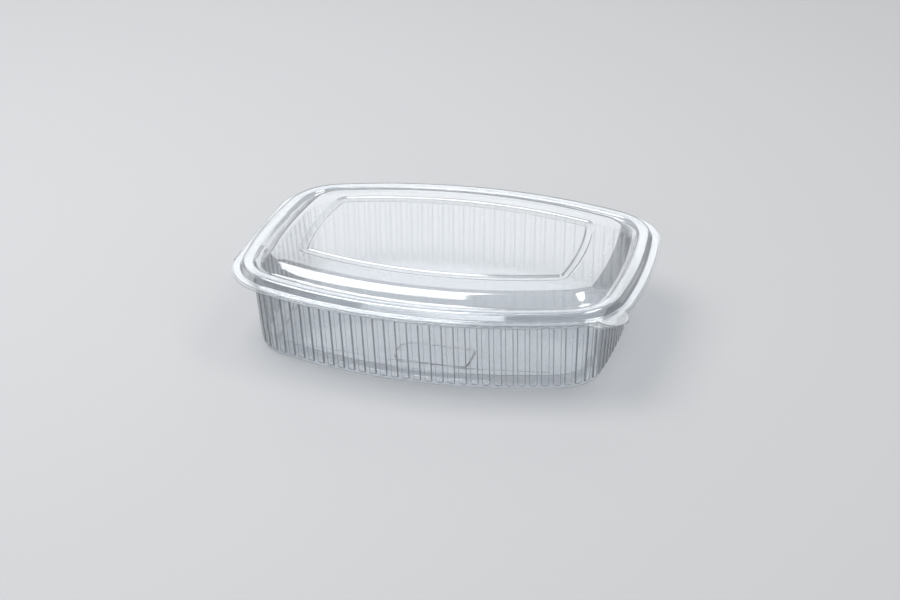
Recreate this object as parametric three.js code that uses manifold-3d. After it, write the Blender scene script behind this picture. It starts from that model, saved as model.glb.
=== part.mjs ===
// Hinged takeaway meal container of thin clear plastic sheet: a fluted tray and a domed lid,
// joined along one short side by a living hinge, shut. Millimetres, +Z up.
// The origin is under the middle of the container, on the surface it stands on.
import * as THREE from 'three';
import { mergeVertices } from 'three/addons/utils/BufferGeometryUtils.js';
import Module from 'manifold-3d';

const wasm = await Module();
wasm.setup();

// Driving dimensions
const SHEET = 0.4;              // thickness of the formed sheet
const GAP = 0.3;                // air between lid and tray
const RIM_Z = 35.5;             // top of the lid's flat rim above the table
const HINGE_CUT = 2.2;          // how far the hinge side is cut straight
const HINGE_LENGTH = 60;        // length of the fold
const HINGE_LIP = 0.7;          // how far the fold stands out
const LID_EDGE_INSET = 0.7;     // the lid's rim ends this much inside the tray's
const MITRE_LIMIT = 0.7;        // keeps the sheet's sharp folds from growing spikes

// Outlines: half length, half width, radius of the long sides and of the short sides, corner
// radius, and x of the middle where that isn't the rim's
const RIM = { halfLength: 90, halfWidth: 67, longSide: 207, shortSide: 260, corner: 29.8 };
const WALL = { halfLength: 79.2, halfWidth: 58.7, longSide: 199, shortSide: 264, corner: 21, middle: -0.5 };
const GROOVE = { halfLength: 60.7, halfWidth: 37.5, longSide: 182, shortSide: 154, corner: 4.5 };
const PANEL = { halfLength: 58, halfWidth: 33.5, longSide: 178, shortSide: 150, corner: 1.4 };

// Tray: distances are insets from the wall's outline at its top
const WALL_DRAFT = 2.6;         // how much further in the wall stands at its foot
const FOOT_INSET = 3.15;
const FOOT_WIDTH = 5.5;         // flat ring that the tray stands on
const FOOT_CORNER = 0.25;       // height of the slanted corner between foot and wall
const FLOOR_RISE = 2.2;         // the floor's height above the foot ring
const FLOOR_SLOPE = 1.6;        // width of the step up to the floor
const FLUTES = 96;              // upright flutes all round the wall
const FLUTE_SHIFT = 0.93;       // where the first flute starts, in flutes from the middle of the free side
const FLUTE_WIDTH = 0.6;        // share of the pitch that a flute takes
const FLUTE_DEPTH = 0.7;
const FLUTE_FOOT_Z = 1.6;
const FLUTE_TOP_Z = 30.5;
const FLUTE_END = 1.6;          // length of a flute's sloping end

// Lid: heights above its flat rim
const PANEL_HEIGHT = 6.4;
const SHOULDER_HEIGHT = 6.7;
const GROOVE_DEPTH = 0.6;
const GROOVE_WALL = 0.55;       // height of the groove's outer wall

// Finger tabs, one on the tray and one on the lid, at the free front corner. Each is half an oval
// about x and y, turned by some degrees, and its root lies in the rim's flat border.
const TRAY_TAB = { x: 79, y: -48.3, turn: -52, width: 12, reach: 5, root: 2.2 };
const LID_TAB = { x: 80.3, y: -42.9, turn: -46, width: 14.5, reach: 10.1, root: 0.4 };

const hingeX = -RIM.halfLength + HINGE_CUT;
const trayRimZ = RIM_Z - SHEET - GAP;

// A closed path of four shallow arcs and four round corners. It starts in the middle of the
// +X side and runs anticlockwise.
function outlinePath({ halfLength, halfWidth, longSide, shortSide, corner, middle = 0 }) {
  const longCentre = new THREE.Vector2(0, halfWidth - longSide);
  const shortCentre = new THREE.Vector2(halfLength - shortSide, 0);
  const apart = longCentre.distanceTo(shortCentre);
  const toLong = longSide - corner;
  const toShort = shortSide - corner;
  const along = (toLong ** 2 - toShort ** 2 + apart ** 2) / (2 * apart);
  const across = Math.sqrt(toLong ** 2 - along ** 2);
  const direction = shortCentre.clone().sub(longCentre).normalize();
  const cornerCentre = longCentre.clone()
    .addScaledVector(direction, along)
    .addScaledVector(new THREE.Vector2(direction.y, -direction.x), across);
  const shortEnd = cornerCentre.clone().sub(shortCentre).angle();
  const longEnd = cornerCentre.clone().sub(longCentre).angle();
  const { x, y } = cornerCentre;
  const path = new THREE.Path();
  path.absarc(middle + shortCentre.x, 0, shortSide, 0, shortEnd);
  path.absarc(middle + x, y, corner, shortEnd, longEnd);
  path.absarc(middle, longCentre.y, longSide, longEnd, Math.PI - longEnd);
  path.absarc(middle - x, y, corner, Math.PI - longEnd, Math.PI - shortEnd);
  path.absarc(middle - shortCentre.x, 0, shortSide, Math.PI - shortEnd, Math.PI + shortEnd);
  path.absarc(middle - x, -y, corner, Math.PI + shortEnd, Math.PI + longEnd);
  path.absarc(middle, -longCentre.y, longSide, Math.PI + longEnd, 2 * Math.PI - longEnd);
  path.absarc(middle + x, -y, corner, 2 * Math.PI - longEnd, 2 * Math.PI - shortEnd);
  path.absarc(middle + shortCentre.x, 0, shortSide, 2 * Math.PI - shortEnd, 2 * Math.PI);
  return path;
}

const rimPath = outlinePath(RIM);
const wallPath = outlinePath(WALL);
const groovePath = outlinePath(GROOVE);
const panelPath = outlinePath(PANEL);

// The point a given share of the way round a path, moved in from it by a distance.
function pointInside(path, share, distance) {
  const wrapped = THREE.MathUtils.euclideanModulo(share, 1);
  const point = path.getPoint(wrapped);
  const tangent = path.getTangent(wrapped);
  return point.add(new THREE.Vector2(-tangent.y, tangent.x).multiplyScalar(distance));
}

// The sheet's face is a list of stations from its middle to its edge: a line parallel to a path,
// a distance further in, at a height. The widest half width tells how far out a station is.
function station(path, distance, z, extra) {
  return { path, distance, z, ...extra };
}

function reachOf({ path, distance }) {
  return pointInside(path, 0.25, distance).y;
}

// The other face of the sheet lies one thickness below it, at right angles, with mitred folds.
function otherFace(stations, thickness) {
  const place = (at) => new THREE.Vector2(reachOf(at), at.z);
  const heading = (from, to) => place(to).sub(place(from)).normalize();
  return stations.map((at, index) => {
    const before = stations[index - 1];
    const after = stations[index + 1];
    const arriving = before ? heading(before, at) : heading(at, after);
    const leaving = after ? heading(at, after) : arriving;
    const along = arriving.clone().add(leaving).normalize();
    const reach = thickness / Math.max(along.dot(arriving), MITRE_LIMIT);
    return { ...at, distance: at.distance - along.y * reach, z: at.z - along.x * reach };
  });
}

// The points of one ring. A fluted ring has three points to a flute: the valley before it and
// the two edges of its crest, which stands out by the flute's depth.
function ringPoints({ path, distance, z, fluted, cut }) {
  const side = (1 - FLUTE_WIDTH) / 2;
  const places = fluted ? [[0, 0], [side, FLUTE_DEPTH], [1 - side, FLUTE_DEPTH]] : [[0, 0]];
  const points = [];
  for (let i = 0; i < FLUTES; i += 1) {
    for (const [step, depth] of places) {
      const { x, y } = pointInside(path, (i + FLUTE_SHIFT + step) / FLUTES, distance - depth);
      points.push(new THREE.Vector3(cut === undefined ? x : Math.max(x, cut), y, z));
    }
  }
  return points;
}

// The strip of triangles between two rings, where either may be fluted.
function strip(inner, outer, triangle) {
  const innerStep = inner.length / FLUTES;
  const outerStep = outer.length / FLUTES;
  for (let i = 0; i < FLUTES; i += 1) {
    const innerAt = (step) => inner[(i * innerStep + step) % inner.length];
    const outerAt = (step) => outer[(i * outerStep + step) % outer.length];
    let m = 0;
    let n = 0;
    while (m < innerStep || n < outerStep) {
      if (n < outerStep && n * innerStep <= m * outerStep) {
        triangle(innerAt(m), outerAt(n + 1), outerAt(n));
        n += 1;
      } else {
        triangle(innerAt(m), innerAt(m + 1), outerAt(n));
        m += 1;
      }
    }
  }
}

// A closed surface through the stations' rings, each end closed by a point in its middle.
function loft(stations) {
  const rings = stations.map(ringPoints);
  const positions = [];
  const triangle = (a, b, c) => positions.push(...a, ...b, ...c);
  const cap = (ring, facesUp) => {
    const middle = new THREE.Vector3(0, 0, ring[0].z);
    ring.forEach((point, i) => {
      const next = ring[(i + 1) % ring.length];
      triangle(middle, facesUp ? point : next, facesUp ? next : point);
    });
  };
  cap(rings[0], false);
  for (let k = 0; k + 1 < rings.length; k += 1) strip(rings[k], rings[k + 1], triangle);
  cap(rings.at(-1), true);
  const geometry = new THREE.BufferGeometry();
  geometry.setAttribute('position', new THREE.Float32BufferAttribute(positions, 3));
  return geometry;
}

// Booleans
function toSolid(geometry) {
  const bare = geometry.clone();
  bare.deleteAttribute('normal');
  bare.deleteAttribute('uv');
  const merged = mergeVertices(bare, 1e-4);
  const index = merged.index.array;
  const triVerts = [];
  for (let i = 0; i < index.length; i += 3) {
    const [a, b, c] = [index[i], index[i + 1], index[i + 2]];
    if (a !== b && b !== c && c !== a) triVerts.push(a, b, c);
  }
  return new wasm.Manifold(new wasm.Mesh({
    numProp: 3,
    vertProperties: new Float32Array(merged.attributes.position.array),
    triVerts: new Uint32Array(triVerts),
  }));
}

function toGeometry(solid) {
  const mesh = solid.getMesh();
  const geometry = new THREE.BufferGeometry();
  geometry.setAttribute('position', new THREE.BufferAttribute(mesh.vertProperties, 3));
  geometry.setIndex(new THREE.BufferAttribute(mesh.triVerts, 1));
  return geometry;
}

// A half-oval finger tab, flat, reaching out from the rim.
function tab({ x, y, turn, width, reach, root }, z) {
  const shape = new THREE.Shape();
  shape.moveTo(-root, -width / 2);
  shape.lineTo(0, -width / 2);
  shape.absellipse(0, 0, reach, width / 2, -Math.PI / 2, Math.PI / 2);
  shape.lineTo(-root, width / 2);
  const geometry = new THREE.ExtrudeGeometry(shape, { depth: SHEET, bevelEnabled: false, curveSegments: 14 });
  geometry.rotateZ(THREE.MathUtils.degToRad(turn));
  geometry.translate(x, y, z);
  return toSolid(geometry);
}

// Half of the folded hinge: a lip along the straight side, level with one rim.
function hingeLip(edgeX, z) {
  const lip = new THREE.BoxGeometry(HINGE_LIP + 1, HINGE_LENGTH, SHEET);
  lip.translate(edgeX + (1 - HINGE_LIP) / 2, 0, z + SHEET / 2);
  return toSolid(lip);
}

// Upper face of the lid's bead, from its inner wall to the flat rim outside it.
function beadStations() {
  return [
    station(rimPath, 10.6, RIM_Z + 1.8),
    station(rimPath, 9.7, RIM_Z + 3),
    station(rimPath, 7.2, RIM_Z + 3.35),
    station(rimPath, 5.1, RIM_Z + 2.9),
    station(rimPath, 3.9, RIM_Z),
  ];
}

// Upper face of the lid: the panel, the groove round it, the shoulder and dome wall, the bead.
function lidStations() {
  const grooveFloor = PANEL_HEIGHT - GROOVE_DEPTH;
  return [
    station(panelPath, 0.4, RIM_Z + PANEL_HEIGHT),
    station(panelPath, -0.6, RIM_Z + grooveFloor),
    station(groovePath, 0.1, RIM_Z + SHOULDER_HEIGHT - GROOVE_WALL),
    station(groovePath, -0.9, RIM_Z + SHOULDER_HEIGHT),
    station(rimPath, 19.8, RIM_Z + 6.2),
    station(rimPath, 17.4, RIM_Z + 5.5),
    station(rimPath, 14.8, RIM_Z + 3.4),
    station(rimPath, 13, RIM_Z + 1.6),
    station(rimPath, 11.6, RIM_Z + 1.2),
    ...beadStations(),
    station(rimPath, LID_EDGE_INSET, RIM_Z, { cut: hingeX }),
  ];
}

// Upper face of the tray: the floor, the foot ring, the fluted wall, and a bead that lies just
// under the lid's.
function trayStations() {
  const rim = otherFace([...beadStations(), station(rimPath, 0, RIM_Z, { cut: hingeX })], SHEET + GAP);
  const wall = (z, fluted) => {
    const draft = WALL_DRAFT * (1 - z / trayRimZ);
    return station(wallPath, draft + SHEET, z, { fluted });
  };
  const footEdge = FOOT_INSET + FOOT_WIDTH;
  return [
    station(wallPath, footEdge + FLOOR_SLOPE, SHEET + FLOOR_RISE),
    station(wallPath, footEdge, SHEET),
    station(wallPath, FOOT_INSET, SHEET),
    station(wallPath, WALL_DRAFT + SHEET, SHEET + FOOT_CORNER),
    wall(FLUTE_FOOT_Z, false),
    wall(FLUTE_FOOT_Z + FLUTE_END, true),
    wall(FLUTE_TOP_Z - FLUTE_END, true),
    wall(FLUTE_TOP_Z, false),
    wall(trayRimZ - 0.6, false),
    ...rim,
  ];
}

// One sheet: its lower face outwards from the middle, then its upper face back to the middle.
function sheetSolid(upper) {
  const lower = otherFace(upper, SHEET);
  lower.at(-1).distance = upper.at(-1).distance;
  return toSolid(loft([...lower, ...upper.toReversed()]));
}

function part(name, solid, colour) {
  const material = new THREE.MeshStandardMaterial({
    color: colour,
    roughness: 0.08,
    metalness: 0,
    transparent: true,
    opacity: 0.35,
  });
  const mesh = new THREE.Mesh(toGeometry(solid), material);
  mesh.name = name;
  return mesh;
}

const tray = sheetSolid(trayStations())
  .add(tab(TRAY_TAB, trayRimZ - SHEET))
  .add(hingeLip(hingeX, trayRimZ - SHEET));
const lid = sheetSolid(lidStations())
  .add(tab(LID_TAB, RIM_Z - SHEET))
  .add(hingeLip(hingeX, RIM_Z - SHEET));

const container = new THREE.Group();
container.add(part('tray', tray, 0xc9d2d8), part('lid', lid, 0xd2dade));
// The hinge side is cut short, so the middle of the whole lies a little towards the free side.
container.position.x = -(RIM.halfLength + hingeX - HINGE_LIP) / 2;

export default container;
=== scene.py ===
"""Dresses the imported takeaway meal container: thin clear sheet, formed and shut, on a pale floor.

Every length inside the shape functions is in millimetres in the rim's own frame, whose centre
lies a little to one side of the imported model's. placed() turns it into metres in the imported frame.
"""
import math

import bpy
import numpy as np
from mathutils import Matrix, Vector


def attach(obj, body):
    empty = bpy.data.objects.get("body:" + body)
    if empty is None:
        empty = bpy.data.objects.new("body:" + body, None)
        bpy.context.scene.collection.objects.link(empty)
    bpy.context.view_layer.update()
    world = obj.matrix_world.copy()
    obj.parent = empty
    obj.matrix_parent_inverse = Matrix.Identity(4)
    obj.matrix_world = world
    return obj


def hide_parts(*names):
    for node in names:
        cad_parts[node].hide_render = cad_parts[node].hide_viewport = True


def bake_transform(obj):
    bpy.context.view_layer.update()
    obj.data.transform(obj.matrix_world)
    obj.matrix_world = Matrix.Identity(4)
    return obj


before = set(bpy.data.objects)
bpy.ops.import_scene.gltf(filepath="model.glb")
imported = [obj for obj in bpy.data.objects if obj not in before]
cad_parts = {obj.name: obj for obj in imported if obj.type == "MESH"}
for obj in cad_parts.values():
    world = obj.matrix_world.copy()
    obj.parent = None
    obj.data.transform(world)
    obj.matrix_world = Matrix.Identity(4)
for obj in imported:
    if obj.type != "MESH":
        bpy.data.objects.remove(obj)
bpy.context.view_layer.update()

bl_info = {
    "name": "Takeaway Meal Container",
    "version": (1, 0, 0),
    "blender": (4, 5, 0),
    "location": "3D View > Sidebar > Container",
    "description": "Builds a hinged takeaway meal container of thin clear sheet",
    "category": "Add Mesh",
}

MM = 0.001
SHIFT_X = -0.75             # from the rim's centre to the middle of the shut container
RIM_Z = 35.5                # top of the lid's flat rim
GAP = 0.3                   # air between lid and tray
HINGE_X = -87.8             # the rims are cut straight here
LID_EDGE_INSET = 0.7        # the lid's edge lies this far inside the tray's
PANEL_Z = RIM_Z + 6.4       # top of the lid's panel
SHOULDER_Z = RIM_Z + 6.7    # top of the raised edge round the groove

# Outlines: half length, half width, radius of the long sides, of the short sides, of the corners,
# and x of the middle
RIM = (90.0, 67.0, 207.0, 260.0, 29.8, 0.0)
WALL = (79.2, 58.7, 199.0, 264.0, 21.0, -0.5)
GROOVE = (60.7, 37.5, 182.0, 154.0, 4.5, 0.0)
PANEL = (58.0, 33.5, 178.0, 150.0, 1.4, 0.0)

WALL_DRAFT = 2.6            # how much further in the tray's wall stands at its foot
FLUTES = 96
FLUTE_SHIFT = 0.93          # where the first flute starts, in flutes from the free side's middle
FLUTE_PITCH = 4.96
FLUTE_WIDTH = 3.0
FLUTE_CORNER = 0.9          # radius of a flute's corners
FLANK_WIDTH = 0.35
FLUTE_LOW, FLUTE_HIGH = 1.85, 30.6
# Heights of the wall's rows, close together where the flutes end
FLUTED_ROWS = (1.66, 1.76, 1.85, 1.94, 2.06, 2.35, 2.8, 16.0, 29.65, 30.1, 30.38, 30.5, 30.62, 30.8)
FLOOR_RISE = 2.2            # the floor lies this far above the foot
FLAT_RIM = 3.9              # width of the rim's flat border

# Finger tabs, half ovals: x, y, turn, width, reach, and how far the root lies inside x and y
TRAY_TAB = (79.0, -48.3, math.radians(-52), 12.0, 5.0, 2.2)
LID_TAB = (80.3, -42.9, math.radians(-46), 14.5, 10.1, 0.4)
LONGEST_REACH = 10.0        # no column of either tab runs out further than this
REACH_STEP = 0.02

# Bare pad on the floor: its corners towards the hinge are rounder than the others
PAD_MIDDLE = (3.2, -35.3)
PAD_BY_HINGE = (16.8, 8.7, 300.0, 200.0, 5.0, 3.2)
PAD_FREE_SIDE = (16.8, 8.7, 300.0, 200.0, 2.5, 3.2)
CUT_ROUNDING = 0.07         # softening of the punched edges

# Along the hinge the lid's bead has an inner wall that steps in between two notches
STEP_FROM, STEP_TO = -21.2, 15.2
STEP_IN = 0.9
STEP_WIDTH = 1.2

# Fold between the two straight edges: a half round on the hinge side, with short legs
FOLD_Z = RIM_Z - 0.55
FOLD_RADIUS = 0.33
FOLD_CENTRE = HINGE_X - 0.24
FOLD_LEG = HINGE_X - 0.02
FOLD_TAPER = 1.5            # the fold grows thin over this length at its ends
FOLD_LEAST = 0.55           # share of its depth that is left there

VENTS_ON_PANEL = [(-12.4, 22.1), (-1.1, 22.0), (10.3, 22.1), (21.4, 22.5), (32.4, 23.0), (43.4, 23.5)]
VENTS_ON_SHOULDER = [(68.1, 21.3), (69.2, 9.8), (69.1, -0.3), (68.8, -11.7), (68.0, -21.9)]
VENTED_SHOULDER_Z = RIM_Z + 6.27
# A vent's lip and its closed underside: share of the radius, height
VENT_LIP = [
    (0.25, 0.03), (0.3, 0.16), (0.48, 0.24), (0.7, 0.18), (0.88, 0.06), (1.0, 0.02), (0.6, 0.0), (0.3, 0.0),
]
VENT_CLEARANCE = 0.01


# Outlines and rings

def arcs_of(outline):
    """The eight arcs of a closed outline, anticlockwise from +X: centre x and y, radius, angles."""
    half_length, half_width, long_side, short_side, corner, middle = outline
    long_centre = np.array([0.0, half_width - long_side])
    short_centre = np.array([half_length - short_side, 0.0])
    apart = np.linalg.norm(short_centre - long_centre)
    to_long, to_short = long_side - corner, short_side - corner
    along = (to_long ** 2 - to_short ** 2 + apart ** 2) / (2 * apart)
    across = math.sqrt(to_long ** 2 - along ** 2)
    heading = (short_centre - long_centre) / apart
    x, y = long_centre + heading * along + np.array([heading[1], -heading[0]]) * across
    short_end = math.atan2(y, x - short_centre[0])
    long_end = math.atan2(y - long_centre[1], x)
    pi = math.pi
    return [
        (middle + short_centre[0], 0, short_side, 0, short_end),
        (middle + x, y, corner, short_end, long_end),
        (middle, long_centre[1], long_side, long_end, pi - long_end),
        (middle - x, y, corner, pi - long_end, pi - short_end),
        (middle - short_centre[0], 0, short_side, pi - short_end, pi + short_end),
        (middle - x, -y, corner, pi + short_end, pi + long_end),
        (middle, -long_centre[1], long_side, pi + long_end, 2 * pi - long_end),
        (middle + x, -y, corner, 2 * pi - long_end, 2 * pi - short_end),
        (middle + short_centre[0], 0, short_side, 2 * pi - short_end, 2 * pi),
    ]


def walk(outline, share):
    """Points a share of the way round an outline, and the directions that point out of it."""
    arcs = np.array(arcs_of(outline), float)
    lengths = arcs[:, 2] * (arcs[:, 4] - arcs[:, 3])
    ends = np.cumsum(lengths)
    gone = np.mod(share, 1.0) * ends[-1]
    which = np.minimum(np.searchsorted(ends, gone, side="right"), len(arcs) - 1)
    x, y, radius, start, _ = arcs[which].T
    angle = start + (gone - (ends - lengths)[which]) / radius
    out = np.stack([np.cos(angle), np.sin(angle)], 1)
    return np.stack([x, y], 1) + out * radius[:, None], out


def ring(outline, share, inset, z):
    """A ring parallel to an outline, moved in from it; inset and z are numbers or one per column."""
    point, out = walk(outline, share)
    inset = np.broadcast_to(np.asarray(inset, float), share.shape)
    z = np.broadcast_to(np.asarray(z, float), share.shape)
    return np.column_stack([point - out * inset[:, None], z])


def shrunk(rim_ring, scale, centre=(0.0, 0.0)):
    """A ring drawn towards a centre, for the flat middle of a face."""
    made = rim_ring.copy()
    made[:, :2] = np.array(centre) + (rim_ring[:, :2] - np.array(centre)) * scale
    return made


def unit(vectors):
    length = np.linalg.norm(vectors, axis=-1, keepdims=True)
    return vectors / np.maximum(length, 1e-9)


def rounded(folds, steps=4):
    """Rows through a list of (ring, fillet): each fold gives way to a curve of that reach."""
    rows = [folds[0][0]]
    for (before, _), (fold, fillet), (after, _) in zip(folds, folds[1:], folds[2:]):
        if fillet == 0:
            rows.append(fold)
            continue
        ends = []
        for other in (before, after):
            way = other - fold
            length = np.linalg.norm(way, axis=1, keepdims=True)
            ends.append(fold + way * np.minimum(fillet / np.maximum(length, 1e-6), 0.46))
        for t in np.linspace(0, 1, steps + 1):
            rows.append(ends[0] * (1 - t) ** 2 + fold * 2 * t * (1 - t) + ends[1] * t ** 2)
    rows.append(folds[-1][0])
    return rows


def under(rows, thickness, plain_rows):
    """The sheet's other face: every point moved one thickness below the face.

    The way down is taken from plain_rows, the same face without its flutes, so that both faces
    of a flute's steep flank keep the same outline.
    """
    rows, plain_rows = np.asarray(rows), np.asarray(plain_rows)
    steps = unit(np.diff(plain_rows, axis=0))
    arriving = np.concatenate([steps[:1], steps])
    leaving = np.concatenate([steps, steps[-1:]])
    along = unit(arriving + leaving)
    turning = unit(np.roll(plain_rows, -1, 1) - plain_rows)
    around = unit(turning + np.roll(turning, 1, 1))
    down = -unit(np.cross(along, around))
    mitre = np.maximum(np.sum(along * arriving, -1, keepdims=True), 0.8)
    return rows + down * thickness / mitre


def offset_profile(stations, thickness):
    """Moves a profile of (inset, z, fillet) stations straight down its own slope, folds mitred."""
    places = np.array([(-inset, z) for inset, z, _ in stations])
    steps = unit(np.diff(places, axis=0))
    arriving = np.concatenate([steps[:1], steps])
    leaving = np.concatenate([steps, steps[-1:]])
    along = unit(arriving + leaving)
    reach = thickness / np.maximum(np.sum(along * arriving, 1), 0.7)
    return [
        (inset - a[1] * r, z - a[0] * r, fillet)
        for (inset, z, fillet), a, r in zip(stations, along, reach)
    ]


# Meshes

def placed(points):
    """Millimetres in the rim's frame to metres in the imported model's frame."""
    return (np.asarray(points, float) + np.array([SHIFT_X, 0, 0])) * MM


def mesh_object(name, vertices, faces, slots=None):
    """A smooth-shaded mesh object whose large faces keep their own flatness."""
    mesh = bpy.data.meshes.new(name)
    mesh.from_pydata(placed(vertices).tolist(), [], faces)
    if slots is not None:
        mesh.polygons.foreach_set("material_index", slots)
    mesh.validate()
    mesh.polygons.foreach_set("use_smooth", np.ones(len(mesh.polygons), bool))
    mesh.update()
    made = bpy.data.objects.new(name, mesh)
    bpy.context.scene.collection.objects.link(made)
    even = made.modifiers.new("even shading", "WEIGHTED_NORMAL")
    even.weight = 60
    return made


def grid_faces(rows, columns, start=0):
    """Quads between neighbouring closed rows, facing out where rows run out and turn left."""
    faces = []
    for k in range(rows - 1):
        a, b = start + k * columns, start + (k + 1) * columns
        for j in range(columns):
            n = (j + 1) % columns
            faces.append((a + j, b + j, b + n, a + n))
    return faces


def strip_faces(inner, outer):
    """Faces between two closed rows, each a list of (column, vertex), that may skip columns."""
    if [c for c, _ in inner] == [c for c, _ in outer]:
        pairs = zip(inner, outer, inner[1:] + inner[:1], outer[1:] + outer[:1])
        return [(a, b, d, c) for (_, a), (_, b), (_, c), (_, d) in pairs]
    turn = 1 + max(inner[-1][0], outer[-1][0])
    inner = inner + [(inner[0][0] + turn, inner[0][1])]
    outer = outer + [(outer[0][0] + turn, outer[0][1])]
    faces, m, n = [], 0, 0
    while m + 1 < len(inner) or n + 1 < len(outer):
        last_inner, last_outer = m + 1 == len(inner), n + 1 == len(outer)
        if last_inner or (not last_outer and outer[n + 1][0] <= inner[m + 1][0]):
            faces.append((inner[m][1], outer[n][1], outer[n + 1][1]))
            n += 1
        else:
            faces.append((inner[m][1], outer[n][1], inner[m + 1][1]))
            m += 1
    return faces


def sheet_object(name, top, thickness, top_centre, kept, plain_top=None):
    """A closed sheet under a face of rows from its middle to its softly cut edge.

    kept gives the columns that each row keeps, so that plain zones have fewer faces. The cut
    edge takes the second material slot, and the flutes' steep flanks the third, whose darker tint is
    painted shade: they are where the face is neither on plain_top nor a whole flute away from it.
    """
    top = np.asarray(top)
    plain_top = np.asarray(top if plain_top is None else plain_top)
    raised = np.linalg.norm(top - plain_top, axis=2)
    raised /= max(raised.max(), 1e-9)
    bottom = under(top, thickness, plain_top)
    bottom[-1, :, :2] = top[-1, :, :2]
    outwards = unit(top[-1] - top[-2]) * CUT_ROUNDING
    edge = [top[-1] - [0, 0, CUT_ROUNDING], bottom[-1] + [0, 0, CUT_ROUNDING]]
    top[-1] -= outwards
    bottom[-1] -= outwards
    rows = np.concatenate([top, edge, bottom[::-1]])
    at_edge = range(len(top) - 1, len(top) + 2)
    kept = kept + [kept[-1]] * 2 + kept[::-1]
    raised = np.concatenate([raised, raised[-2:], raised[::-1]])
    vertices, numbered, lifts = [], [], []
    for row, lift, columns in zip(rows, raised, kept):
        start = len(vertices)
        vertices += row[columns].tolist()
        lifts += lift[columns].tolist()
        numbered.append([(int(c), start + i) for i, c in enumerate(columns)])
    faces, slots = [], []
    for index, (inner, outer) in enumerate(zip(numbered, numbered[1:])):
        for face in strip_faces(inner, outer):
            on_flank = 0.06 < sum(lifts[v] for v in face) / len(face) < 0.94
            faces.append(face)
            slots.append(1 if index in at_edge else 2 if on_flank else 0)
    middle = len(vertices)
    vertices += [list(top_centre), (np.asarray(top_centre) - [0, 0, thickness]).tolist()]
    first, last = [v for _, v in numbered[0]], [v for _, v in numbered[-1]]
    faces += [(middle, a, b) for a, b in zip(first, first[1:] + first[:1])]
    faces += [(middle + 1, b, a) for a, b in zip(last, last[1:] + last[:1])]
    slots += [0] * (len(faces) - len(slots))
    made = mesh_object(name, vertices, faces, slots)
    for material in (sheet_material(), cut_edge_material(), flank_painted_shade_material()):
        made.data.materials.append(material)
    return made


# Shape of the rim: bead, flat border, straight cut at the hinge, finger tab

def bead_profile():
    """The bead's upper face as (inset, z, fillet), from its inner wall to its outer foot."""
    return [
        (10.6, RIM_Z + 1.8, 0.5),
        (9.7, RIM_Z + 3.0, 0.6),
        (7.2, RIM_Z + 3.35, 0.9),
        (5.1, RIM_Z + 2.9, 0.7),
        (FLAT_RIM, RIM_Z, 0.6),
    ]


def tab_reach(share, edge_inset, tab):
    """How far each column's edge runs out along its own direction to the tab's rounded outline."""
    x, y, turn, width, longest, root = tab
    point, out = walk(RIM, share)
    start = point - out * edge_inset
    reach = np.zeros(len(share))
    for step in np.arange(0.0, LONGEST_REACH, REACH_STEP):
        at = start + out * step - [x, y]
        u = at[:, 0] * math.cos(turn) + at[:, 1] * math.sin(turn)
        v = at[:, 1] * math.cos(turn) - at[:, 0] * math.sin(turn)
        rounded_end = (u / longest) ** 2 + (v / (width / 2)) ** 2 < 1
        inside = np.where(u > 0, rounded_end, (np.abs(v) < width / 2) & (u > -root))
        reach[inside] = step
    return reach


def flat_border(share, z, edge_inset, tab):
    """Rings of the flat border, out to the cut edge, which runs straight along the hinge."""
    foot, out = walk(RIM, share)
    foot = foot - out * FLAT_RIM
    length = np.full(len(share), FLAT_RIM - edge_inset)
    past_cut = (foot + out * length[:, None])[:, 0] < HINGE_X
    to_cut = (foot[:, 0] - HINGE_X) / np.maximum(-out[:, 0], 1e-6)
    length = np.where(past_cut, to_cut, length) + tab_reach(share, edge_inset, tab)
    heights = np.full(len(share), z)
    return [
        (np.column_stack([foot + out * (length * part)[:, None], heights]), 0)
        for part in (0.4, 0.7, 0.9, 1.0)
    ]


def flute_columns(steps):
    """Shares of the way round that stand at the given steps in each flute."""
    share = (np.arange(FLUTES)[:, None] + FLUTE_SHIFT + np.array(steps)) / FLUTES
    return np.mod(share.ravel(), 1.0)


def close_columns(outline, places, within, apart):
    """Shares a small distance apart where an outline passes near any of the places."""
    arcs = np.array(arcs_of(outline), float)
    share = np.arange(0, 1, apart / np.sum(arcs[:, 2] * (arcs[:, 4] - arcs[:, 3])))
    point, _ = walk(outline, share)
    away = np.min([np.hypot(point[:, 0] - x, point[:, 1] - y) for x, y in places], axis=0)
    return share[away < within]


def merged(*shares, apart=0.0002):
    """All shares in order, without any that stands too close to an earlier list's."""
    every = shares[0]
    for extra in shares[1:]:
        gap = np.abs((extra[:, None] - every[None, :] + 0.5) % 1.0 - 0.5).min(1)
        every = np.concatenate([every, extra[gap > apart]])
    return np.sort(every)


def places_of(some, every):
    """Where each of some shares stands among every share."""
    return np.flatnonzero(np.isin(every, some))


# Materials

def linear(hex_colour):
    """An sRGB hex colour as linear red, green, blue and alpha."""
    parts = [int(hex_colour[i:i + 2], 16) / 255 for i in (1, 3, 5)]
    return tuple(c / 12.92 if c <= 0.04045 else ((c + 0.055) / 1.055) ** 2.4 for c in parts) + (1.0,)


def add_node(tree, kind, inputs=None, **settings):
    """Adds a node, sets its fields, and gives each named input a value or a link."""
    made = tree.nodes.new(kind)
    for field, value in settings.items():
        setattr(made, field, value)
    for socket, value in (inputs or {}).items():
        if isinstance(value, bpy.types.NodeSocket):
            tree.links.new(value, made.inputs[socket])
        else:
            made.inputs[socket].default_value = value
    return made


def new_material(name):
    """A material with an empty node tree and its output."""
    material = bpy.data.materials.new(name)
    material.use_nodes = True
    material.node_tree.nodes.clear()
    return material, material.node_tree, add_node(material.node_tree, "ShaderNodeOutputMaterial")


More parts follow.
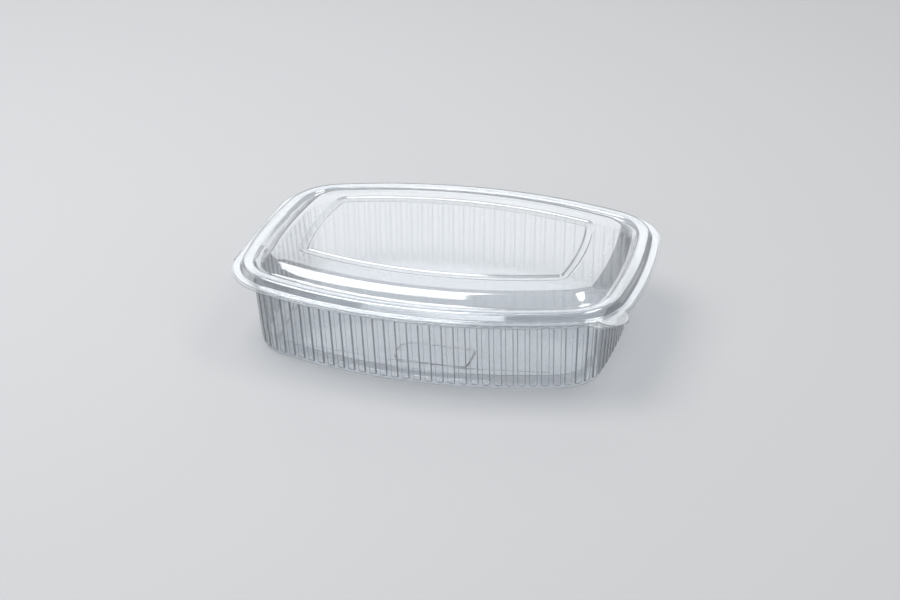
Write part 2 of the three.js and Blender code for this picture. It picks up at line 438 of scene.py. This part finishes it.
def clear_sheet_material(name, tint, edge_tint, roughness, clearness, waviness):
    """Clear polystyrene sheet, heated and drawn into a mould: glass clear, its skin faintly uneven."""
    material, tree, output = new_material(name)
    place = add_node(tree, "ShaderNodeTexCoord").outputs["Object"]
    # The sheet draws thinner in places, so reflections wander over about 9 mm
    wander = add_node(tree, "ShaderNodeTexNoise", {"Vector": place, "Scale": 1 / 0.009, "Detail": 1.0})
    # Fine skin of the mould, about 0.8 mm, which softens the edges of highlights
    skin = add_node(tree, "ShaderNodeTexNoise", {"Vector": place, "Scale": 1 / 0.0008, "Detail": 2.0})
    height = add_node(
        tree, "ShaderNodeMath",
        {0: skin.outputs["Fac"], 1: 0.03, 2: wander.outputs["Fac"]},
        operation="MULTIPLY_ADD",
    )
    bump = add_node(
        tree, "ShaderNodeBump",
        {"Height": height.outputs[0], "Distance": waviness, "Strength": 1.0},
    )
    # Rubbed places are a little duller, in patches of about 25 mm
    rubbed = add_node(tree, "ShaderNodeTexNoise", {"Vector": place, "Scale": 1 / 0.025, "Detail": 4.0})
    dull = add_node(
        tree, "ShaderNodeMapRange",
        {"Value": rubbed.outputs["Fac"], "From Min": 0.35, "From Max": 0.7,
         "To Min": roughness, "To Max": roughness * 1.8},
    )
    # Seen edge on, the way through the sheet is longer, so folds and rims show a grey-blue line
    slant = add_node(tree, "ShaderNodeLayerWeight", {"Blend": 0.5})
    length = add_node(
        tree, "ShaderNodeMapRange",
        {"Value": slant.outputs["Facing"], "From Min": 0.55, "From Max": 0.97,
         "To Min": 0.0, "To Max": 1.0},
        interpolation_type="SMOOTHSTEP",
    )
    colour = add_node(
        tree, "ShaderNodeMix",
        {"Factor": length.outputs[0], "A": linear(tint), "B": linear(edge_tint)},
        data_type="RGBA",
    )
    shader = add_node(
        tree, "ShaderNodeBsdfPrincipled",
        {"Base Color": colour.outputs["Result"], "Roughness": dull.outputs[0], "IOR": 1.59,
         "Transmission Weight": clearness, "Normal": bump.outputs[0]},
    )
    # Light from the lamps passes through the sheet, which dims it a little
    passing = add_node(tree, "ShaderNodeBsdfTransparent", {"Color": (0.9, 0.91, 0.92, 1.0)})
    path = add_node(tree, "ShaderNodeLightPath")
    mix = add_node(
        tree, "ShaderNodeMixShader",
        {0: path.outputs["Is Shadow Ray"], 1: shader.outputs[0], 2: passing.outputs[0]},
    )
    tree.links.new(mix.outputs[0], output.inputs["Surface"])
    return material


def frosted_edge_material(name, colour):
    """Edge of clear polystyrene sheet, cut by a steel rule: fine tearing clouds it."""
    material, tree, output = new_material(name)
    place = add_node(tree, "ShaderNodeTexCoord").outputs["Object"]
    # Tearing marks about 0.15 mm apart
    tearing = add_node(tree, "ShaderNodeTexNoise", {"Vector": place, "Scale": 1 / 0.00015, "Detail": 2.0})
    bump = add_node(
        tree, "ShaderNodeBump",
        {"Height": tearing.outputs["Fac"], "Distance": 0.00003, "Strength": 0.6},
    )
    shader = add_node(
        tree, "ShaderNodeBsdfPrincipled",
        {"Base Color": linear(colour), "Roughness": 0.35, "IOR": 1.59,
         "Transmission Weight": 0.25, "Normal": bump.outputs[0]},
    )
    tree.links.new(shader.outputs[0], output.inputs["Surface"])
    return material


def floor_material(colour):
    """Matte painted board, rolled: a plain pale surface with a hint of unevenness."""
    material, tree, output = new_material("matte_painted_board")
    place = add_node(tree, "ShaderNodeTexCoord").outputs["Object"]
    roll = add_node(tree, "ShaderNodeTexNoise", {"Vector": place, "Scale": 1 / 0.004, "Detail": 3.0})
    bump = add_node(
        tree, "ShaderNodeBump",
        {"Height": roll.outputs["Fac"], "Distance": 0.00005, "Strength": 0.4},
    )
    shader = add_node(
        tree, "ShaderNodeBsdfPrincipled",
        {"Base Color": linear(colour), "Roughness": 0.75, "Normal": bump.outputs[0]},
    )
    tree.links.new(shader.outputs[0], output.inputs["Surface"])
    return material


# Settings

class ContainerSizes(bpy.types.PropertyGroup):
    """Sizes that can be changed without touching the outlines."""
    sheet: bpy.props.FloatProperty(
        name="Sheet", description="Thickness of the formed sheet", default=0.0004, unit="LENGTH")
    flute_depth: bpy.props.FloatProperty(
        name="Flute depth", description="How far the tray's flutes stand out", default=0.0007,
        unit="LENGTH")
    web: bpy.props.FloatProperty(
        name="Hinge web", description="Thickness of the fold between lid and tray", default=0.00022,
        unit="LENGTH")
    hinge_length: bpy.props.FloatProperty(
        name="Hinge length", description="Length of the fold", default=0.06, unit="LENGTH")
    vent: bpy.props.FloatProperty(
        name="Vent", description="Radius of a pricked vent's raised lip", default=0.00045, unit="LENGTH")
    pad_height: bpy.props.FloatProperty(
        name="Pad height", description="How far the bare pad on the floor is raised", default=0.0007,
        unit="LENGTH")


class ContainerFinish(bpy.types.PropertyGroup):
    """Colours and finish of the sheet."""
    tint: bpy.props.StringProperty(
        name="Tint", description="sRGB hex colour of the clear sheet", default="#F5F7F9")
    edge_tint: bpy.props.StringProperty(
        name="Edge tint", description="sRGB hex colour of the sheet seen edge on", default="#AEB1B4")
    crease: bpy.props.StringProperty(
        name="Crease", description="sRGB hex colour of the folded hinge", default="#EDF1F4")
    # The flanks' darker tint is painted shade, standing in for the dark lines the steep flanks show
    flank: bpy.props.StringProperty(
        name="Flank", description="sRGB hex colour of the flutes' steep flanks", default="#B9BEC2")
    cut_edge: bpy.props.StringProperty(
        name="Cut edge", description="sRGB hex colour of the sheet's cut edge", default="#B8BEC3")
    floor: bpy.props.StringProperty(
        name="Floor", description="sRGB hex colour of the floor", default="#B5B6B8")
    roughness: bpy.props.FloatProperty(
        name="Roughness", description="Roughness of the sheet's skin", default=0.05, min=0, max=1,
        subtype="FACTOR")
    clearness: bpy.props.FloatProperty(
        name="Clearness", description="Share of light that goes through", default=0.95, min=0, max=1,
        subtype="FACTOR")


def settings():
    scene = bpy.context.scene
    return scene.container_sizes, scene.container_finish


def shared_material(name, make):
    """The named material, made the first time it is asked for."""
    return bpy.data.materials.get(name) or make(name)


def sheet_material():
    _, finish = settings()
    return shared_material("clear_polystyrene_thermoformed", lambda name: clear_sheet_material(
        name, finish.tint, finish.edge_tint, finish.roughness, finish.clearness, 0.00002))


def crease_material():
    _, finish = settings()
    return shared_material("clear_polystyrene_scored", lambda name: clear_sheet_material(
        name, finish.crease, finish.edge_tint, 0.3, 0.8, 0.00004))


def flank_painted_shade_material():
    _, finish = settings()
    # Rougher than the rest of the sheet, and tinted darker as painted shade for the dark lines along the
    # steep flanks
    return shared_material("clear_polystyrene_flank_painted_shade", lambda name: clear_sheet_material(
        name, finish.flank, finish.edge_tint, finish.roughness * 2, finish.clearness, 0.00002))


def cut_edge_material():
    _, finish = settings()
    return shared_material("clear_polystyrene_die_cut_edge", lambda name: frosted_edge_material(
        name, finish.cut_edge))


# Pieces

class CONTAINER_OT_tray(bpy.types.Operator):
    """Forms the fluted tray: floor with its bare pad, foot, wall, bead, border and tab"""
    bl_idname = "container.tray"
    bl_label = "Tray"

    def execute(self, context):
        sizes, _ = settings()
        sheet, depth = sizes.sheet / MM, sizes.flute_depth / MM
        # Wall columns follow the flanks of the flutes, plain ones skip them
        plain = flute_columns([0, 0.2576, 0.5, 0.7424])
        flanks = flute_columns([0.161, 0.1855, 0.2098, 0.234, 0.766, 0.7902, 0.8145, 0.839])
        by_tab = close_columns(RIM, [TRAY_TAB[:2]], TRAY_TAB[3] / 2 + 2.5, 0.3)
        share = merged(plain, flanks, by_tab, apart=0.00022)
        rows, floor_top = self.rows(share, sheet, depth, sizes.pad_height / MM)
        smooth_rows, _ = self.rows(share, sheet, 0, sizes.pad_height / MM)
        on_plain = places_of(plain, share)
        on_wall = places_of(np.concatenate([plain, flanks]), share)
        on_rim = places_of(np.concatenate([plain, by_tab]), share)
        heights = np.array([row[:, 2].mean() for row in rows])
        reaches = np.array([np.hypot(row[:, 0], row[:, 1]).max() for row in rows])
        at_flutes = (heights > FLUTED_ROWS[0] - 0.06) & (heights < FLUTED_ROWS[-1] + 0.2)
        fluted = at_flutes & (reaches > WALL[0] - 5)
        below = np.arange(len(rows)) < np.argmax(fluted)
        kept = [on_wall if f else on_plain if b else on_rim for f, b in zip(fluted, below)]
        tray = sheet_object("tray_shell", rows, sheet, (*PAD_MIDDLE, floor_top), kept, smooth_rows)
        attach(tray, "tray")
        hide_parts("tray")
        return {"FINISHED"}

    @staticmethod
    def rows(share, sheet, depth, pad_height):
        """The tray's upper face from the pad to the cut edge, and the pad's height."""
        tray_rim_z = RIM_Z - sheet - GAP
        towards_hinge = ((share > 0.25) & (share < 0.75))[:, None]

        def wall(z, fillet=0.0, fluted=False):
            inset = WALL_DRAFT * (1 - z / tray_rim_z) + sheet
            place = np.abs(np.mod(share * FLUTES - FLUTE_SHIFT, 1.0) - 0.5) * FLUTE_PITCH
            past_side = np.maximum(place - FLUTE_WIDTH / 2 + FLUTE_CORNER, 0)
            past_end = max(FLUTE_LOW + FLUTE_CORNER - z, z - FLUTE_HIGH + FLUTE_CORNER, 0)
            from_line = np.hypot(past_side, past_end) - FLUTE_CORNER
            rise = np.clip(0.5 - from_line / FLANK_WIDTH, 0, 1)
            rise = rise * rise * (3 - 2 * rise) if fluted else 0
            return ring(WALL, share, inset - depth * rise, z), fillet

        def pad(inset, z, fillet=0.0):
            made = np.where(
                towards_hinge,
                ring(PAD_BY_HINGE, share, inset, z),
                ring(PAD_FREE_SIDE, share, inset, z),
            )
            return made + np.array([0, PAD_MIDDLE[1], 0]), fillet

        floor_z = sheet + FLOOR_RISE
        top_z = floor_z + pad_height
        folds = [
            (shrunk(pad(0.5, top_z)[0], 0.5, PAD_MIDDLE), 0),
            pad(0.5, top_z, 0.14),
            pad(0.05, floor_z, 0.14),
            (0.6 * pad(-0.6, floor_z)[0] + 0.4 * ring(WALL, share, 12.4, floor_z), 0),
            (ring(WALL, share, 10.25, floor_z), 0.45),
            (ring(WALL, share, 8.65, sheet), 0.45),
            (ring(WALL, share, 3.15, sheet), 0.12),
            (ring(WALL, share, 3.0, sheet + 0.25), 0.1),
            wall(1.45, 0.2),
        ]
        folds += [wall(z, 0, True) for z in FLUTED_ROWS]
        folds += [wall(31.2), wall(tray_rim_z - 0.6, 0.6)]
        rim = offset_profile(bead_profile() + [(0, RIM_Z, 0)], sheet + GAP)[:-1]
        folds += [(ring(RIM, share, inset, z), fillet) for inset, z, fillet in rim]
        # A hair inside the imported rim, which has straight sides between its corners
        folds += flat_border(share, tray_rim_z, 0.02, TRAY_TAB)
        return rounded(folds, 3), top_z


class CONTAINER_OT_lid(bpy.types.Operator):
    """Forms the domed lid: panel, groove, shoulder, dome wall, bead, border and tab"""
    bl_idname = "container.lid"
    bl_label = "Lid"

    def execute(self, context):
        sizes, _ = settings()
        sheet = sizes.sheet / MM
        even = flute_columns(np.arange(5) / 5)
        by_tab = close_columns(RIM, [LID_TAB[:2]], LID_TAB[3] / 2 + 2.5, 0.3)
        corners = close_columns(PANEL, [(x, y) for x in (-56, 56) for y in (-24.5, 24.5)], 2.5, 0.25)
        notches = close_columns(RIM, [(-88, STEP_TO), (-88, STEP_FROM)], 2.0, 0.3)
        share = merged(even, by_tab, corners, notches, apart=0.0004)
        point, _ = walk(RIM, share)
        past_notch = np.minimum(point[:, 1] - STEP_FROM, STEP_TO - point[:, 1])
        beside = np.clip(past_notch / STEP_WIDTH, 0, 1)
        step_in = STEP_IN * np.where(point[:, 0] < 0, beside * beside * (3 - 2 * beside), 0)
        panel_edge = ring(PANEL, share, 0.4, PANEL_Z)
        folds = [
            (shrunk(panel_edge, 0.3), 0),
            (shrunk(panel_edge, 0.8), 0),
            (panel_edge, 0.3),
            (ring(PANEL, share, -0.6, PANEL_Z - 0.6), 0.35),
            (ring(GROOVE, share, 0.1, SHOULDER_Z - 0.55), 0.35),
            (ring(GROOVE, share, -0.9, SHOULDER_Z), 0.35),
            (ring(RIM, share, 19.8, RIM_Z + 6.2), 1.2),
            (ring(RIM, share, 17.4, RIM_Z + 5.5), 0.9),
            (ring(RIM, share, 14.8, RIM_Z + 3.4), 0.9),
            (ring(RIM, share, 13.0, RIM_Z + 1.6), 0.7),
            (ring(RIM, share, 11.6 + step_in, RIM_Z + 1.2), 0.45),
        ]
        for inset, z, fillet in bead_profile():
            step = step_in if inset > 10 else 0
            folds.append((ring(RIM, share, inset + step, z), fillet))
        folds += flat_border(share, RIM_Z, LID_EDGE_INSET, LID_TAB)
        rows = rounded(folds, 4)
        kept = [np.arange(len(share))] * len(rows)
        lid = sheet_object("lid_shell", rows, sheet, (0, 0, PANEL_Z), kept)
        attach(lid, "lid")
        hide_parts("lid")
        return {"FINISHED"}


class CONTAINER_OT_hinge(bpy.types.Operator):
    """Folds the thin web that joins the two straight edges"""
    bl_idname = "container.hinge"
    bl_label = "Hinge web"

    def execute(self, context):
        sizes, _ = settings()
        web, half = sizes.web / MM, sizes.hinge_length / MM / 2
        angles = np.linspace(math.pi / 2, 3 * math.pi / 2, 13)
        line = [(FOLD_LEG, FOLD_Z + FOLD_RADIUS)]
        line += [
            (FOLD_CENTRE + FOLD_RADIUS * math.cos(a), FOLD_Z + FOLD_RADIUS * math.sin(a)) for a in angles
        ]
        line += [(FOLD_LEG, FOLD_Z - FOLD_RADIUS)]
        line = np.array(line)
        steps = unit(np.diff(line, axis=0))
        along = unit(np.concatenate([steps[:1], steps]) + np.concatenate([steps, steps[-1:]]))
        normal = np.column_stack([along[:, 1], -along[:, 0]])
        outline = np.concatenate([line + normal * web / 2, (line - normal * web / 2)[::-1]])
        stops = np.linspace(-half, half, 41)
        ends = np.clip((half - np.abs(stops)) / FOLD_TAPER, 0, 1)
        rows = []
        for y, full in zip(stops, ends):
            narrow = outline.copy()
            depth = FOLD_LEAST + (1 - FOLD_LEAST) * math.sqrt(full)
            narrow[:, 0] = FOLD_LEG + (outline[:, 0] - FOLD_LEG) * depth
            rows.append(np.column_stack([narrow[:, 0], np.full(len(outline), y), narrow[:, 1]]))
        columns = len(outline)
        faces = grid_faces(len(rows), columns)
        faces.append(tuple(reversed(range(columns))))
        faces.append(tuple(range((len(rows) - 1) * columns, len(rows) * columns)))
        hinge = mesh_object("hinge_web", np.concatenate(rows), faces)
        hinge.data.materials.append(crease_material())
        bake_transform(hinge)
        return {"FINISHED"}


class CONTAINER_OT_vents(bpy.types.Operator):
    """Pricks the small steam vents, each with its raised lip"""
    bl_idname = "container.vents"
    bl_label = "Steam vents"

    def execute(self, context):
        sizes, _ = settings()
        radius = sizes.vent / MM
        around = np.linspace(0, 2 * math.pi, 16, endpoint=False)
        vertices, faces = [], []
        places = [(x, y, PANEL_Z) for x, y in VENTS_ON_PANEL]
        places += [(x, y, VENTED_SHOULDER_Z) for x, y in VENTS_ON_SHOULDER]
        for x, y, z in places:
            start = len(vertices)
            for reach, height in VENT_LIP:
                for angle in around:
                    vertices.append((
                        x + radius * reach * math.cos(angle),
                        y + radius * reach * math.sin(angle),
                        z + VENT_CLEARANCE + height,
                    ))
            rows = len(VENT_LIP)
            faces += grid_faces(rows, len(around), start)
            last = start + (rows - 1) * len(around)
            for j in range(len(around)):
                n = (j + 1) % len(around)
                faces.append((last + j, start + j, start + n, last + n))
        vents = mesh_object("steam_vents", vertices, faces)
        vents.data.materials.append(crease_material())
        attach(vents, "lid")
        return {"FINISHED"}


# Stage

def area_light(name, power, size, place, aim, colour="#FFFFFF", shape="RECTANGLE", long_way=None):
    """A soft light at a place in metres, turned to a point, its height lying along long_way."""
    data = bpy.data.lights.new(name, "AREA")
    data.energy = power
    data.shape = shape
    data.size, data.size_y = size
    data.color = linear(colour)[:3]
    light = bpy.data.objects.new(name, data)
    bpy.context.scene.collection.objects.link(light)
    way = np.array(aim, float) - np.array(place, float)
    light.location = place
    light.rotation_mode = "QUATERNION"
    light.rotation_quaternion = Vector(way).to_track_quat("-Z", "Y")
    if long_way is not None:
        back = -Vector(way).normalized()
        side = Vector(long_way).cross(back).normalized()
        turn = Matrix((side, back.cross(side), back)).transposed()
        light.rotation_quaternion = turn.to_quaternion()
    return light


class CONTAINER_OT_stage(bpy.types.Operator):
    """Lays the pale floor, hangs the soft lights and sets the camera"""
    bl_idname = "container.stage"
    bl_label = "Stage"

    def execute(self, context):
        _, finish = settings()
        scene = context.scene
        half = 4.0
        mesh = bpy.data.meshes.new("floor")
        corners = [(-half, -half, 0), (half, -half, 0), (half, half, 0), (-half, half, 0)]
        mesh.from_pydata(corners, [], [(0, 1, 2, 3)])
        floor = bpy.data.objects.new("floor", mesh)
        scene.collection.objects.link(floor)
        mesh.materials.append(floor_material(finish.floor))

        world = bpy.data.worlds.new("studio")
        world.use_nodes = True
        world.node_tree.nodes.clear()
        sky = add_node(world.node_tree, "ShaderNodeBackground", {"Color": linear("#D2D4D6"), "Strength": 0.2})
        out = add_node(world.node_tree, "ShaderNodeOutputWorld")
        world.node_tree.links.new(sky.outputs[0], out.inputs["Surface"])
        scene.world = world

        area_light("softbox_above", 16, (0.9, 0.82), (-0.56, -0.02, 1.15), (-0.56, -0.02, 0))
        area_light(
            "dish_right", 6.0, (0.4, 0.85), (0.57, 0.17, 1.15), (0.2, 0, 0),
            shape="ELLIPSE", long_way=(0.57, -0.82, 0),
        )
        area_light("softbox_behind", 16, (2.2, 1.3), (-0.55, 1.87, 1.05), (0, 0, 0.04), "#EEF0F2")
        area_light("fill_right", 4, (0.9, 0.9), (1.5, -0.9, 1.1), (0, 0, 0.02))
        area_light("fill_front", 5, (1.1, 0.5), (-0.25, -1.5, 0.75), (0, 0, 0.03))

        camera_data = bpy.data.cameras.new("camera")
        camera_data.sensor_width = 36
        camera_data.lens = 78.6
        camera_data.clip_start, camera_data.clip_end = 0.05, 20
        camera = bpy.data.objects.new("camera", camera_data)
        right = (0.96274, 0.26974, -0.01906)
        up = (-0.10805, 0.44834, 0.88731)
        back = (0.24788, -0.85220, 0.46078)
        turn = Matrix((right, up, back)).transposed().to_4x4()
        camera.matrix_world = Matrix.Translation((0.21465, -0.7394, 0.4108)) @ turn
        scene.collection.objects.link(camera)
        scene.camera = camera

        scene.cycles.max_bounces = 32
        scene.cycles.transmission_bounces = 32
        scene.cycles.transparent_max_bounces = 32
        scene.cycles.glossy_bounces = 8
        scene.cycles.caustics_refractive = False
        scene.cycles.caustics_reflective = False
        scene.view_settings.view_transform = "Standard"
        return {"FINISHED"}


class CONTAINER_PT_panel(bpy.types.Panel):
    """Lists the pieces and their settings"""
    bl_label = "Takeaway Meal Container"
    bl_idname = "CONTAINER_PT_panel"
    bl_space_type = "VIEW_3D"
    bl_region_type = "UI"
    bl_category = "Container"

    def draw(self, context):
        scene = context.scene
        sizes = ("sheet", "flute_depth", "web", "hinge_length", "vent", "pad_height")
        finish = ("tint", "edge_tint", "crease", "flank", "cut_edge", "floor", "roughness", "clearness")
        for group, fields in ((scene.container_sizes, sizes), (scene.container_finish, finish)):
            box = self.layout.box()
            for field in fields:
                box.prop(group, field)
        for name in OPERATORS:
            self.layout.operator(name)


OPERATORS = ("container.stage", "container.tray", "container.lid", "container.hinge", "container.vents")
CLASSES = (
    ContainerSizes,
    ContainerFinish,
    CONTAINER_OT_stage,
    CONTAINER_OT_tray,
    CONTAINER_OT_lid,
    CONTAINER_OT_hinge,
    CONTAINER_OT_vents,
    CONTAINER_PT_panel,
)


def register():
    for each in CLASSES:
        bpy.utils.register_class(each)
    bpy.types.Scene.container_sizes = bpy.props.PointerProperty(type=ContainerSizes)
    bpy.types.Scene.container_finish = bpy.props.PointerProperty(type=ContainerFinish)


def unregister():
    del bpy.types.Scene.container_finish
    del bpy.types.Scene.container_sizes
    for each in reversed(CLASSES):
        bpy.utils.unregister_class(each)


def main():
    """Builds the stage and every piece."""
    register()
    bpy.ops.container.stage()
    bpy.ops.container.tray()
    bpy.ops.container.lid()
    bpy.ops.container.hinge()
    bpy.ops.container.vents()


if __name__ == "__main__":
    main()
